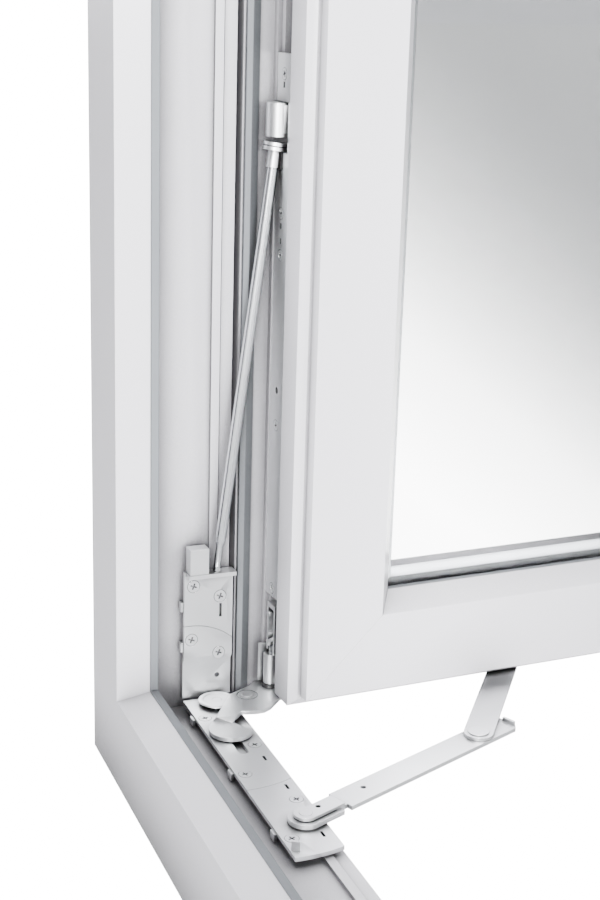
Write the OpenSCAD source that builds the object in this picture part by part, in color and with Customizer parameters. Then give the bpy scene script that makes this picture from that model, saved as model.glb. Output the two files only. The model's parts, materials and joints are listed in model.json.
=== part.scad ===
// Inward-opening window with a concealed corner hinge, a load rod and an opening limiter.
// X runs along the sill from the hinge side to the lock side, Y from outdoors to the room, Z up.
// The origin is the centre of the sill's underside. The sash is modelled fully open.

/* [Window] */
// Overall width of the outer frame
frame_w = 700; // [640:10:1000]
// Overall height of the outer frame
frame_h = 900; // [700:10:1300]
// Angle between the open sash and the frame
open_angle = 92.4; // [90:0.1:94]

/* [Frame profile] */
// Depth of the outer frame from outdoors to the room
frame_depth = 74; // [74:1:90]
// Height of the flat outdoor face above the outer edge
face_w = 54.6; // [50:0.1:58]
// Height of the outdoor lip above the outer edge
lip_w = 61.5; // [59:0.1:66]
// Thickness of the plastic walls
wall = 3; // [2.4:0.1:3.4]
// Wall of the steel reinforcement tubes
steel_t = 1.5; // [1:0.1:2]
// Radius of the holes that fix the frame to the wall
fixing_r = 4.1; // [3:0.1:5]

/* [Sash profile] */
// Gap between the frame's outer edge and the sash edge at the sides and top
sash_gap = 51; // [50.6:0.1:53]
// Gap between the frame's outer edge and the sash edge at the bottom
sill_gap = 50; // [49.9:0.1:52]
// Depth of the sash from its outdoor face to its room face
sash_depth = 75; // [72:1:84]
// How far the room-side flange laps past the sash edge
flange_lap = 18; // [14:0.5:19]
// Height of the sight line above the sash edge
sight_w = 65; // [60:0.5:72]
// Thickness of each pane
pane_t = 4; // [3:0.5:6]
// Width of the space between the panes
pane_space = 16; // [12:1:20]

/* [Hinge] */
// Top face of the hinge plates above the frame's outer edge
plate_top = 43.5; // [43:0.1:44]
// Thickness of the hinge plates
plate_t = 2.4; // [2:0.1:3]
// Thickness of the swinging arm
arm_t = 2.4; // [2:0.1:2.5]
// Radius of the link's disc
disc_r = 11.3; // [9:0.1:11.5]
// Radius of the sash pivot pin
pivot_pin_r = 2.5; // [2:0.1:3]
// Radius of the lower pivot barrel
lower_barrel_r = 4.3; // [4:0.1:5]
// Radius of the upper pivot barrel
upper_barrel_r = 7.1; // [6:0.1:7.4]
// Radius of the screw heads
screw_head_r = 3.7; // [3:0.1:4]
// Radius of the screw shanks
screw_shank_r = 1.9; // [1.5:0.1:2.1]

/* [Load rod] */
// Radius of the load rod
rod_r = 3.2; // [2.5:0.1:3.2]
// Radius of the sleeve at the top of the rod
rod_sleeve_r = 4; // [3.5:0.1:4.5]

/* [Limiter] */
// Width of the limiter bars
limiter_w = 17.5; // [14:0.5:19]
// Thickness of the long limiter bar
limiter_t = 2.6; // [2.4:0.1:2.7]
// Length of the second limiter arm between its pivots
limiter_arm_len = 114; // [110:1:118]

/* [Handle] */
// Height of the handle above the sash's bottom edge
handle_z = 400; // [300:10:600]
// Length of the handle grip
handle_len = 118; // [100:1:130]
// Travel of the locking bar for a quarter turn of the handle
lock_travel = 18; // [14:1:20]

/* [Hidden] */
$fn = 64;
eps = 0.01;
fit = 0.3;
mitre_gap = 0.1;
pvc = [0.87, 0.87, 0.89];
metal = [0.80, 0.82, 0.83];
steel = [0.62, 0.64, 0.66];
dark = [0.12, 0.12, 0.13];
grey = [0.48, 0.50, 0.52];
pane_tint = [0.80, 0.88, 0.90, 0.35];

// Frame section, as depth and height above the outer edge
hinge_depth = 74;
front_y = hinge_depth - frame_depth;
lip_y = 18;
gasket_y = 21.6;
floor_w = 37;
ridge_w = 39.5;
ridge_y = [61, 66];
room_w = 38;
groove_y = 66.8;
groove_w = 30;
steel_y = [gasket_y, 57];
steel_inset = 60;
frame_steel_top = floor_w - wall;

// Sash section, as depth behind its outdoor face and height above its edge
sash_w = frame_w - 2 * sash_gap;
sash_h = frame_h - sash_gap - sill_gap;
face_step = 7;
chamfer_w = sight_w - 10;
lip_v = 15.5;
strip_v = [31, 50.5];
strip_d = 3;
channel_v = [34.7, 46.7];
channel_d = 12;
flange_v = sash_depth - 20;
rebate_w = sight_w - 18;
sash_steel_v = [lip_v, 52];
sash_steel_u = [channel_d + wall, rebate_w - wall];

// Glazing stack
pane_edge = rebate_w + 5;
gasket_t = 1.5;
outer_pane_v = lip_v + gasket_t;
spacer_v = outer_pane_v + pane_t;
inner_pane_v = spacer_v + pane_space;
bead_v = inner_pane_v + pane_t + gasket_t + 1;

// Hinge points in the open position, along the sill and in depth
link_pivot = [53.1, 62.7];
arm_pivot = [58.7, 80.2];
sash_pivot = [50, 98];
slider_pivot = [87.4, 57.5];
pivot_u = 2.3;
pivot_v = 43.7;
plate_y = [44.4, 72.6];
jamb_plate_y = [44.6, 75];
sill_joint_r = 60;
sill_joint = [99.5, 47];
jamb_joint_r = 40.4;
jamb_joint = [48, 51.5];
joint_gap = 0.3;
plate_end = 232;
jamb_plate_z = 126.3;
recess_x = 41.2;
recess_z = [67, 71];
recess_under = ridge_w + 0.1;
slot_x = [80, 119.5];
slot_y = [54.5, 60.5];
slider_y = [53.4, 60.6];
slider_z = plate_top - plate_t - 0.2;
link_t = 1.8;
link_z = plate_top + 0.3;
disc_z = [link_z, plate_top + 3];
arm_z = plate_top + 3.3;
moon_z = plate_top + 0.7;
moon_c = [92.5, 58.3];
moon_chord = [83, 51];
moon_chord_angle = 53.6;
moon_r = 13;
neck_top = [[81.5, 52.7], [83.4, 64.8]];
neck_foot = [[79.9, 51.4], [85.9, 61.7]];
neck_out = [0.864, -0.503];

// Screws through the hinge plates: place along the member and depth
sill_screws = [[69.8, 49.8], [110.5, 66.4], [142, 49.5], [176.8, 66.4], [213.8, 49.5]];
jamb_screws = [[117.1, 50.3], [109.2, 67], [82.8, 49.3], [72.6, 66.6]];
screw_tip = 24;
screw_gap = 0.25;
head_proud = 0.1;
head_screws = [[69.8, 49.8], [110.5, 66.4], [142, 49.5]];

// Load rod, foot and top, measured from the frame's outdoor hinge corner
rod_foot = [46.3, 63.6, jamb_plate_z + 2.2];
foot_pin_r = 1.5;
foot_pin_len = 5;
rod_head = [48.3, 93.6, 373.4];
rod_neck = 16;
rod_neck_r = 2.1;
rod_vec = rod_head - rod_foot;
rod_len = norm(rod_vec);
rod_tilt = acos(rod_vec.z / rod_len);
rod_turn = atan2(rod_vec.y, rod_vec.x);
ring_r = 7.3;
ring_t = 2.1;
sleeve_len = 9;

// Brackets on the sash: heights above the sash's bottom edge
lower_barrel_z = [1.6, 21];
channel_z = [21.6, 54];
upper_barrel_z = [331.8, 350.2];
upper_barrel_u = -1.2;
strip_z = [59.6, 376.6];
strip_face = 0.5;
strip_screw_z = [64.5, 166, 265.8, 289.3, 365.6];
strip_slot_z = [273.7, 282.3, 359.8];
strip_hole_z = 187;
strip_mid = (strip_v[0] + strip_v[1]) / 2;
strip_head_r = 3.2;
strip_shank_r = 1.55;
strip_screw_len = 14;
upper_pocket_z = [upper_barrel_z[0] - 8.8, upper_barrel_z[1] + 0.6];
sleeve_notch_z = upper_barrel_z[0] - 18.6;
sleeve_notch_v = [39.6, 51.6];

// Limiter pivots in the open position
post = [201, 62];
elbow = [146.2, 191.8];
limiter_angle = atan2(elbow.y - post.y, elbow.x - post.x);
limiter_len = norm(elbow - post);
limiter_arm_angle = 143.3;
limiter_z = plate_top + 0.9;
bar_start = 26;
fork_w = 11;
tongue_r = 6.4;
tongue_end = bar_start - 3;
tongue_z = [limiter_z + limiter_t + 0.5, limiter_z + limiter_t + 2.2];
arm_level = limiter_z + limiter_t + 0.1;
limiter_arm_t = 1.9;
elbow_head_t = 0.65;
limiter_shoe_u = 169;

// Lock hardware on the far stile
cam_z = [140, (handle_z + sash_h - 140) / 2, sash_h - 140];
cam_r = 4;
cam_reach = 8;
striker_len = 64;
handle_v = sash_depth;
handle_u = 22;

// ---- placing helpers -------------------------------------------------------------

// From the frame's hinge corner to the model's origin. Depths are counted so that the room
// face is at hinge_depth, so a deeper frame grows outdoors of its rebate
module on_frame() {
    translate([-frame_w / 2, frame_depth / 2 - hinge_depth, 0]) children();
}

// From the sash's own corner (along the edge, depth, height) to the open sash
module on_sash() {
    on_frame()
    translate([sash_pivot.x, sash_pivot.y, sill_gap])
    rotate(open_angle)
    translate([-pivot_u, -pivot_v, 0]) children();
}

// Four sides of a rectangle of size w by h, from pieces drawn along its bottom side
module bottom_side() {
    children();
}
module top_side(h) {
    translate([0, 0, h]) mirror([0, 0, 1]) children();
}
module left_side() {
    mirror([1, 0, -1]) children();
}
module right_side(w) {
    translate([w, 0, 0]) mirror([1, 0, 0]) mirror([1, 0, -1]) children();
}

// A bar along X with its ends mitred at 45 degrees; the section is drawn as depth and height
module side_bar(len, low = -20, high = 75, gap = 0) {
    intersection() {
        translate([-30, 0, 0]) rotate([90, 0, 90]) linear_extrude(len + 60) children();
        rotate([90, 0, 0]) linear_extrude(300, center = true)
            polygon([[low + gap, low], [len - low - gap, low], [len - high - gap, high], [high + gap, high]]);
    }
}

// A closed ring of four mitred bars around a rectangle of size w by h
module ring_of_bars(w, h, gap = 0) {
    bottom_side() side_bar(w, gap = gap) children();
    top_side(h) side_bar(w, gap = gap) children();
    left_side() side_bar(h, gap = gap) children();
    right_side(w) side_bar(h, gap = gap) children();
}

// A box from one corner to another
module box(a, b) {
    translate(a) cube(b - a);
}

// A flat bar with round ends between two points
module link_shape(a, b, r) {
    d = b - a;
    translate(a) circle(r);
    translate(b) circle(r);
    translate(a) rotate(atan2(d.y, d.x)) translate([0, -r]) square([norm(d), 2 * r]);
}

// ---- screws ----------------------------------------------------------------------

// A countersunk screw along Z, its head level with Z = 0 and its shank going down
module sunk_screw(depth, head_r = screw_head_r, shank_r = screw_shank_r) {
    difference() {
        union() {
            rotate_extrude()
                polygon([[0, head_proud], [head_r, head_proud], [head_r, -0.3],
                    [shank_r, head_r * -0.5], [0, head_r * -0.5]]);
            translate([0, 0, -depth]) cylinder(r = shank_r, h = depth - 1);
        }
        for (turn = [20, 110])
            rotate(turn) translate([-head_r * 0.55, -0.5, -1.3]) cube([head_r * 1.1, 1, 2]);
    }
}

// Clearance for a countersunk screw, reaching down from Z = 1
module sunk_hole(depth, head_r = screw_head_r, shank_r = screw_shank_r) {
    translate([0, 0, -depth]) cylinder(r = shank_r + screw_gap, h = depth);
    rotate_extrude()
        polygon([[0, 1], [head_r + screw_gap, 1], [head_r + screw_gap, -0.35],
            [shank_r + screw_gap, head_r * -0.5 - 0.05], [0, head_r * -0.5 - 0.05]]);
}

// Children at every screw of the sill, hinge jamb and head plates, Z pointing out of the plate
module at_hinge_screws() {
    for (p = sill_screws) translate([p.x, p.y, plate_top]) children();
    left_side() for (p = jamb_screws) translate([p.x, p.y, plate_top]) children();
    top_side(frame_h) for (p = head_screws) translate([p.x, p.y, plate_top]) children();
}

// Clearance for the screw shanks, cut through plates, packers, plastic and steel
module hinge_screw_holes() {
    at_hinge_screws() sunk_hole(30);
}

// Children at the striker screws, Z pointing out of the lock jamb's floor
module at_striker_screws() {
    right_side(frame_w)
        for (z = cam_z, end = [-1, 1])
            translate([z + sill_gap + end * (striker_len / 2 - 6), 52, striker_top]) children();
}
striker_top = 41.6;

// ---- outer frame -----------------------------------------------------------------

module frame_section() {
    difference() {
        polygon([
            [front_y, 0], [hinge_depth, 0], [hinge_depth, room_w], [groove_y, room_w],
            [groove_y, groove_w], [ridge_y[1], groove_w], [ridge_y[1], ridge_w],
            [ridge_y[0], ridge_w], [ridge_y[0], floor_w], [gasket_y, floor_w],
            [gasket_y, lip_w], [lip_y, lip_w], [front_y, face_w]
        ]);
        polygon([
            [front_y + wall, wall], [gasket_y - wall, wall], [gasket_y - wall, lip_w - wall - 1],
            [lip_y - 1, lip_w - wall - 1], [front_y + wall, face_w - wall + 1]
        ]);
        translate([steel_y[0], wall]) square([steel_y[1] - steel_y[0], frame_steel_top - wall]);
        translate([steel_y[1] + wall, wall])
            square([hinge_depth - steel_y[1] - 2 * wall, groove_w - 2 * wall]);
    }
}

// Places of the wall fixings along each jamb
fixing_z = [frame_h - 340, frame_h - 150];
fixing_y = 32;

module fixing_holes() {
    for (z = fixing_z) translate([z, fixing_y, -1]) cylinder(r = fixing_r, h = 80);
}

module frame_sill() {
    color(pvc) on_frame() difference() {
        bottom_side() side_bar(frame_w) frame_section();
        hinge_screw_holes();
    }
}

module frame_head() {
    color(pvc) on_frame() difference() {
        top_side(frame_h) side_bar(frame_w) frame_section();
        hinge_screw_holes();
    }
}

module frame_hinge_jamb() {
    color(pvc) on_frame() difference() {
        left_side() side_bar(frame_h) frame_section();
        hinge_screw_holes();
        left_side() fixing_holes();
    }
}

module frame_lock_jamb() {
    color(pvc) on_frame() difference() {
        right_side(frame_w) side_bar(frame_h) frame_section();
        right_side(frame_w) fixing_holes();
        at_striker_screws() sunk_hole(20);
    }
}

module steel_tube(len, y, w, inset) {
    difference() {
        box([inset, y[0] + fit, w[0] + fit], [len - inset, y[1] - fit, w[1] - fit]);
        box([inset - 1, y[0] + fit + steel_t, w[0] + fit + steel_t],
            [len - inset + 1, y[1] - fit - steel_t, w[1] - fit - steel_t]);
    }
}

module frame_steel() {
    w = [wall, frame_steel_top];
    color(steel) on_frame() difference() {
        union() {
            bottom_side() steel_tube(frame_w, steel_y, w, steel_inset);
            top_side(frame_h) steel_tube(frame_w, steel_y, w, steel_inset);
            left_side() steel_tube(frame_h, steel_y, w, steel_inset);
            right_side(frame_w) steel_tube(frame_h, steel_y, w, steel_inset);
        }
        hinge_screw_holes();
        left_side() fixing_holes();
        right_side(frame_w) fixing_holes();
        at_striker_screws() sunk_hole(20);
    }
}

module frame_gasket() {
    color(grey) on_frame() ring_of_bars(frame_w, frame_h, gap = mitre_gap)
        polygon([
            [gasket_y, lip_w - 5.5], [gasket_y, lip_w], [lip_y + 0.3, lip_w],
            [lip_y + 0.7, lip_w + 0.9], [gasket_y + 1.2, lip_w + 0.9],
            [gasket_y + 1.6, lip_w + 0.4], [gasket_y + 1.2, lip_w - 5.5]
        ]);
}

// ---- hinge plates on the frame ---------------------------------------------------

// Two small locating lugs bent down from the outdoor edge of a plate
module plate_lugs(places, y) {
    for (x = places) box([x - 3, y - 1.6, plate_top - 5.5], [x + 3, y + 0.1, plate_top - plate_t / 2]);
}

module jamb_plate_upper() {
    color(metal) on_frame() difference() {
        left_side() difference() {
            union() {
                box([60, jamb_plate_y[0], plate_top - plate_t],
                    [jamb_plate_z, jamb_plate_y[1], plate_top]);
                box([jamb_plate_z - plate_t, jamb_plate_y[0] + 1, plate_top - plate_t],
                    [jamb_plate_z, jamb_plate_y[1], plate_top + 6.5]);
                plate_lugs([104], jamb_plate_y[0]);
            }
            translate([jamb_joint.y, jamb_joint.x, 0])
                cylinder(r = jamb_joint_r + joint_gap / 2, h = 60, $fn = 128);
            box([96, 66.6, 38], [104.5, 68.2, 60]);
        }
        hinge_screw_holes();
    }
}

module jamb_plate_lower() {
    color(metal) on_frame() difference() {
        left_side() intersection() {
            union() {
                rotate([90, 0, 0]) translate([0, 0, -jamb_plate_y[1]])
                    linear_extrude(jamb_plate_y[1] - jamb_plate_y[0])
                    polygon([
                        [plate_top + fit, recess_under], [recess_z[0] + 0.8, recess_under],
                        [recess_z[1] + 0.8, plate_top - plate_t], [100, plate_top - plate_t],
                        [100, plate_top], [recess_z[1], plate_top], [recess_z[0], recess_x],
                        [plate_top + fit, recess_x]
                    ]);
                plate_lugs([78], jamb_plate_y[0]);
            }
            translate([jamb_joint.y, jamb_joint.x, 0])
                cylinder(r = jamb_joint_r - joint_gap / 2, h = 60, $fn = 128);
        }
        hinge_screw_holes();
        left_side() translate([56.8, 66.5, 30]) cylinder(r = 1.6, h = 20);
    }
}

module plate_blank(x0, x1) {
    box([x0, plate_y[0], plate_top - plate_t], [x1, plate_y[1], plate_top]);
}

module sill_joint_disc(r) {
    translate([sill_joint.x, sill_joint.y, 30]) cylinder(r = r, h = 20, $fn = 160);
}

module sill_plate() {
    color(metal) on_frame() difference() {
        union() {
            intersection() {
                plate_blank(plate_top + fit, 170);
                sill_joint_disc(sill_joint_r - joint_gap / 2);
            }
            plate_lugs([65.1, 134.8], plate_y[0]);
        }
        translate([0, 0, 30]) linear_extrude(30)
            link_shape([slot_x[0] + 3, 57.5], [slot_x[1] - 3, 57.5], (slot_y[1] - slot_y[0]) / 2);
        box([125, 65.4, 30], [130.5, 67, 60]);
        hinge_screw_holes();
        translate([link_pivot.x, link_pivot.y, 30]) cylinder(r = link_pin_r + 0.05, h = 20);
    }
}
link_pin_r = 3;

module limiter_plate() {
    color(metal) on_frame() difference() {
        union() {
            difference() {
                intersection() {
                    plate_blank(140, plate_end + 10);
                    translate([plate_end - 78, 51, 30]) cylinder(r = 78, h = 20, $fn = 160);
                }
                sill_joint_disc(sill_joint_r + joint_gap / 2);
            }
            plate_lugs([203], plate_y[0]);
            // Upright end stop
            translate([226.2, 46.9, plate_top - 1]) rotate(60) translate([-2.3, -0.8, 0]) cube([4.6, 1.6, 7]);
        }
        box([159.5, 65.7, 30], [165, 67.3, 60]);
        box([212, 65.5, 30], [217.5, 67.1, 60]);
        hinge_screw_holes();
        translate([post.x, post.y, 30]) cylinder(r = post_r + 0.05, h = 20);
    }
}
post_r = 3.5;

module head_plate() {
    color(metal) on_frame() difference() {
        top_side(frame_h) difference() {
            plate_blank(plate_top + fit, 156);
            translate([link_pivot.x, link_pivot.y, 30]) cylinder(r = link_pin_r + 0.05, h = 20);
        }
        hinge_screw_holes();
    }
}

module packer_strips(x0, x1) {
    box([x0, 45.4, floor_w], [x1, 52.6, plate_top - plate_t]);
    box([x0, groove_y + 0.4, room_w], [x1, 71.6, plate_top - plate_t]);
}

module plate_packers() {
    color(pvc * 0.9) on_frame() difference() {
        union() {
            packer_strips(62, 222);
            top_side(frame_h) packer_strips(62, 150);
            left_side() {
                box([76, 46, floor_w], [122, 53, plate_top - plate_t]);
                box([76, groove_y + 0.4, room_w], [122, 71.6, plate_top - plate_t]);
                box([46, 46, floor_w], [66, 56, recess_x - plate_t]);
            }
        }
        hinge_screw_holes();
    }
}

module frame_screws() {
    color(metal) on_frame() {
        at_hinge_screws() sunk_screw(plate_top - screw_tip);
        at_striker_screws() sunk_screw(16);
    }
}

module rod_socket() {
    color(metal) on_frame() {
        box([plate_top - plate_t, 46.3, jamb_plate_z], [49.6, 57.8, jamb_plate_z + 16]);
        translate([rod_foot.x, rod_foot.y, jamb_plate_z]) cylinder(r = 2.6, h = 0.3);
    }
}

module link_pin() {
    translate([link_pivot.x, link_pivot.y, plate_top - plate_t])
        cylinder(r = link_pin_r, h = disc_z[1] - plate_top + plate_t - 0.4);
}

module link_pins() {
    color(metal) on_frame() {
        link_pin();
        top_side(frame_h) link_pin();
    }
}

// ---- striker plates --------------------------------------------------------------

module strikers() {
    color(metal) on_frame() difference() {
        right_side(frame_w)
            for (z = cam_z) translate([z + sill_gap, 0, 0]) {
                difference() {
                    box([-striker_len / 2, 44, ridge_w], [striker_len / 2, 72.4, striker_top]);
                    box([-striker_len / 2 + 14, 56, 30], [striker_len / 2 - 14, 60, 60]);
                }
                box([-striker_len / 2, 44, floor_w], [striker_len / 2, 60.5, ridge_w + eps]);
                // Lips that hold the locking cam when the bar has moved down or up
                for (end = [-1, 1])
                    translate([end * (striker_len / 2 - 9) - 9, 69.2, striker_top - eps])
                        cube([18, 3.2, 4.6]);
            }
        at_striker_screws() sunk_hole(20);
    }
}

// ---- swinging link ---------------------------------------------------------------

module link_blank(z0) {
    difference() {
        translate([0, 0, z0]) linear_extrude(link_t) link_shape(link_pivot, arm_pivot, 6.5);
        translate([link_pivot.x, link_pivot.y, 0]) cylinder(r = link_pin_r + 0.05, h = 80);
        translate([arm_pivot.x, arm_pivot.y, 0]) cylinder(r = arm_rivet_r + 0.05, h = 80);
    }
}
arm_rivet_r = 2.6;

module hinge_link() {
    color(metal) on_frame() difference() {
        link_blank(link_z);
    }
}

module link_disc() {
    color(metal) on_frame() translate([link_pivot.x, link_pivot.y, 0]) difference() {
        rotate_extrude()
            polygon([
                [link_pin_r + 0.05, link_z + link_t], [disc_r, link_z + link_t],
                [disc_r, disc_z[1] - 0.6], [disc_r - 0.8, disc_z[1]], [disc_r - 3, disc_z[1]],
                [disc_r - 3.3, disc_z[1] - 0.35], [link_pin_r + 0.05, disc_z[1] - 0.35]
            ]);
        translate([-1, -1.5, disc_z[1] - 1]) cube([3, 3, 2]);
    }
}

module top_link() {
    color(metal) on_frame() top_side(frame_h) link_blank(link_z);
}

// ---- swinging arm ----------------------------------------------------------------

module arm_outline() {
    difference() {
        union() {
            translate(sash_pivot) circle(8.2);
            polygon([
                [58.2, 104.2], [67, 98.5], [77.6, 88.5], [80.6, 83.4], [80.8, 78], [78.6, 69.6],
                neck_top[1], neck_top[0],
                [66, 62.6], [54.6, 70.4], [50.6, 78], [46.5, 86], [41.6, 90.2], [41.8, 97.5], [50, 106.2]
            ]);
        }
    }
}

module half_moon() {
    intersection() {
        translate(moon_c) circle(moon_r, $fn = 96);
        translate(moon_chord) rotate(moon_chord_angle) translate([-20, -60]) square([80, 60]);
    }
    polygon([neck_foot[0], neck_foot[1], [93, 65.5], moon_c, [86, 47.8]]);
}

module hinge_arm() {
    color(metal) on_frame() difference() {
        union() {
            translate([0, 0, arm_z]) linear_extrude(arm_t) arm_outline();
            // Joggled neck down to the half-moon over the slot
            hull() polyhedron(
                points = [
                    for (p = neck_top) [p.x - 2.4, p.y, arm_z],
                    for (p = neck_top) [p.x, p.y, arm_z + arm_t - 0.02],
                    for (p = neck_foot) concat(p - neck_out * 1.2, moon_z + 0.02),
                    for (p = neck_foot) concat(p + neck_out, moon_z + arm_t - 0.02)
                ],
                faces = [
                    [0, 1, 3, 2], [4, 6, 7, 5], [0, 4, 5, 1], [2, 3, 7, 6], [0, 2, 6, 4], [1, 5, 7, 3]
                ]
            );
            translate([0, 0, moon_z]) linear_extrude(arm_t) half_moon();
        }
        translate([sash_pivot.x, sash_pivot.y, 0]) cylinder(r = pivot_pin_r + 0.02, h = 80);
        translate([arm_pivot.x, arm_pivot.y, 0]) cylinder(r = arm_rivet_r + 0.02, h = 80);
        translate([arm_pivot.x, arm_pivot.y, arm_z + arm_t - 0.5]) difference() {
            cylinder(r = 6.6, h = 2);
            translate([0, 0, -1]) cylinder(r = 5.9, h = 4);
        }
        translate([slider_pivot.x + 1, slider_pivot.y, 0]) cylinder(r = arm_rivet_r + 0.02, h = 80);
    }
}

module arm_rivets() {
    color(metal) on_frame() {
        translate([arm_pivot.x, arm_pivot.y, link_z])
            cylinder(r = arm_rivet_r, h = arm_z + arm_t - link_z);
        translate([arm_pivot.x, arm_pivot.y, arm_z + arm_t]) cylinder(r = 3.6, h = 0.3);
        translate([slider_pivot.x + 1, slider_pivot.y, moon_z])
            cylinder(r = arm_rivet_r, h = arm_t);
        top_side(frame_h) translate([arm_pivot.x, arm_pivot.y, link_z])
            cylinder(r = arm_rivet_r, h = arm_z + arm_t - link_z);
    }
}

module top_arm() {
    color(metal) on_frame() top_side(frame_h) difference() {
        translate([0, 0, arm_z]) linear_extrude(arm_t) link_shape(arm_pivot, sash_pivot, 7);
        translate([sash_pivot.x, sash_pivot.y, 0]) cylinder(r = pivot_pin_r + 0.02, h = 80);
        translate([arm_pivot.x, arm_pivot.y, 0]) cylinder(r = arm_rivet_r + 0.02, h = 80);
    }
}

module pivot_pins() {
    color(steel) on_frame() {
        translate([sash_pivot.x, sash_pivot.y, arm_z])
            cylinder(r = pivot_pin_r, h = sill_gap + lower_barrel_z[1] - 3 - arm_z);
        top_side(frame_h) translate([sash_pivot.x, sash_pivot.y, arm_z])
            cylinder(r = pivot_pin_r, h = sash_gap + 16 - arm_z);
    }
}

module pivot_washer() {
    color(dark) on_frame() translate([sash_pivot.x, sash_pivot.y, arm_z + arm_t]) difference() {
        cylinder(r = 5.4, h = sill_gap + lower_barrel_z[0] - arm_z - arm_t - 0.3);
        translate([0, 0, -1]) cylinder(r = pivot_pin_r + 0.02, h = 8);
    }
}

// ---- slider in the sill plate ----------------------------------------------------

module slot_slider() {
    color(metal) on_frame() {
        box([72, slider_y[0], slider_z - 2], [118, slider_y[1], slider_z]);
        translate([slider_pivot.x, 57.5, slider_z - eps])
            cylinder(r = 2.6, h = plate_top - slider_z + 0.3);
    }
}

// ---- sash ------------------------------------------------------------------------

module sash_section() {
    difference() {
        polygon([
            [0, face_step], [0, chamfer_w], [lip_v - 1.2, sight_w], [lip_v, sight_w],
            [lip_v, rebate_w], [sash_depth, rebate_w], [sash_depth, -flange_lap],
            [flange_v, -flange_lap], [flange_v, 0], [strip_v[1], 0], [strip_v[1], strip_d],
            [channel_v[1], strip_d], [channel_v[1], channel_d], [channel_v[0], channel_d],
            [channel_v[0], strip_d], [strip_v[0], strip_d], [strip_v[0], 0], [12, 0],
            [8.5, 5], [8.5, face_step]
        ]);
        polygon([
            [wall, face_step + wall], [lip_v - wall, face_step + wall],
            [lip_v - wall, sight_w - wall - 1.5], [wall, chamfer_w - wall + 1]
        ]);
        translate([sash_steel_v[0], sash_steel_u[0]])
            square([sash_steel_v[1] - sash_steel_v[0], sash_steel_u[1] - sash_steel_u[0]]);
        translate([flange_v + wall, wall - flange_lap])
            square([sash_depth - flange_v - 2 * wall, flange_lap + rebate_w - 2 * wall]);
    }
}

module sash_bottom_rail() {
    color(pvc) on_sash() difference() {
        side_bar(sash_w) sash_section();
        bracket_pockets();
        limiter_pocket();
    }
}

module sash_top_rail() {
    color(pvc) on_sash() difference() {
        top_side(sash_h) side_bar(sash_w) sash_section();
        bracket_pockets();
    }
}

// Notches in the hinge-side stile for the pivots and the ends of the load rod
module bracket_pockets() {
    box([-1, 37.6, -1], [8.5, strip_v[1], channel_z[0]]);
    box([-1, pivot_v - 4, -1], [8.5, strip_v[1], lower_barrel_z[1] + 6.2]);
    box([-1, 35, upper_pocket_z[0]], [8.5, 53.4, upper_pocket_z[1]]);
    box([-1, sleeve_notch_v[0], sleeve_notch_z], [6, sleeve_notch_v[1], upper_barrel_z[0]]);
    translate([0, 0, sash_h - 16]) box([-1, 37.6, 0], [10, strip_v[1], 20]);
    box([strip_d, channel_v[0], -1], [channel_d, channel_v[1], 30]);
}

module limiter_pocket() {
    box([limiter_shoe_u - 20, strip_v[0], -1], [limiter_shoe_u + 20, strip_v[1], strip_d]);
}

module sash_hinge_stile() {
    color(pvc) on_sash() difference() {
        left_side() side_bar(sash_h) sash_section();
        bracket_pockets();
        left_side() at_strip_screws() cylinder(r = strip_shank_r + 0.05, h = strip_screw_len + 1);
    }
}

module sash_lock_stile() {
    color(pvc) on_sash() difference() {
        right_side(sash_w) side_bar(sash_h) sash_section();
        right_side(sash_w) gear_pocket();
    }
}

// Pocket milled through the lock-side stile for the gear case and the handle spindle
module gear_pocket() {
    box([handle_z - 62, channel_v[0], 1], [handle_z + 62, channel_v[1], gear_w[1] + 0.5]);
    translate([handle_z, channel_v[0], handle_u]) rotate([-90, 0, 0])
        cylinder(r = 8, h = handle_v + 10 - channel_v[0]);
}
gear_w = [strip_d + 0.1, 34];

module sash_steel() {
    color(steel) on_sash() difference() {
        union() {
            bottom_side() steel_tube(sash_w, sash_steel_v, sash_steel_u, steel_inset);
            top_side(sash_h) steel_tube(sash_w, sash_steel_v, sash_steel_u, steel_inset);
            left_side() steel_tube(sash_h, sash_steel_v, sash_steel_u, steel_inset);
            right_side(sash_w) steel_tube(sash_h, sash_steel_v, sash_steel_u, steel_inset);
        }
        right_side(sash_w) gear_pocket();
    }
}

module glazing_beads() {
    bead_end = sash_depth - 4;
    color(pvc) on_sash() ring_of_bars(sash_w, sash_h, gap = mitre_gap)
        polygon([
            [bead_v, rebate_w], [bead_end, rebate_w], [bead_end, rebate_w + 9],
            [bead_end - 4, sight_w - 3], [bead_v + 2, sight_w], [bead_v, sight_w]
        ]);
}

module pane(v) {
    on_sash() box([pane_edge, v, pane_edge], [sash_w - pane_edge, v + pane_t, sash_h - pane_edge]);
}

module outer_pane() {
    color(pane_tint) pane(outer_pane_v);
}

module inner_pane() {
    color(pane_tint) pane(inner_pane_v);
}

module pane_spacer() {
    color(grey) on_sash() ring_of_bars(sash_w, sash_h, gap = mitre_gap)
        translate([spacer_v, pane_edge + 2]) square([pane_space, sight_w + 5 - pane_edge - 2]);
}

module glazing_gaskets() {
    color(grey) on_sash() {
        ring_of_bars(sash_w, sash_h, gap = mitre_gap)
            polygon([
                [lip_v, sight_w - 6], [outer_pane_v, sight_w - 6], [outer_pane_v, sight_w + 0.8],
                [lip_v + 0.4, sight_w + 0.4], [lip_v, sight_w - 0.2]
            ]);
        ring_of_bars(sash_w, sash_h, gap = mitre_gap)
            polygon([
                [inner_pane_v + pane_t, sight_w - 6], [bead_v, sight_w - 6], [bead_v, sight_w - 0.4],
                [inner_pane_v + pane_t, sight_w + 0.6]
            ]);
    }
}

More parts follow.
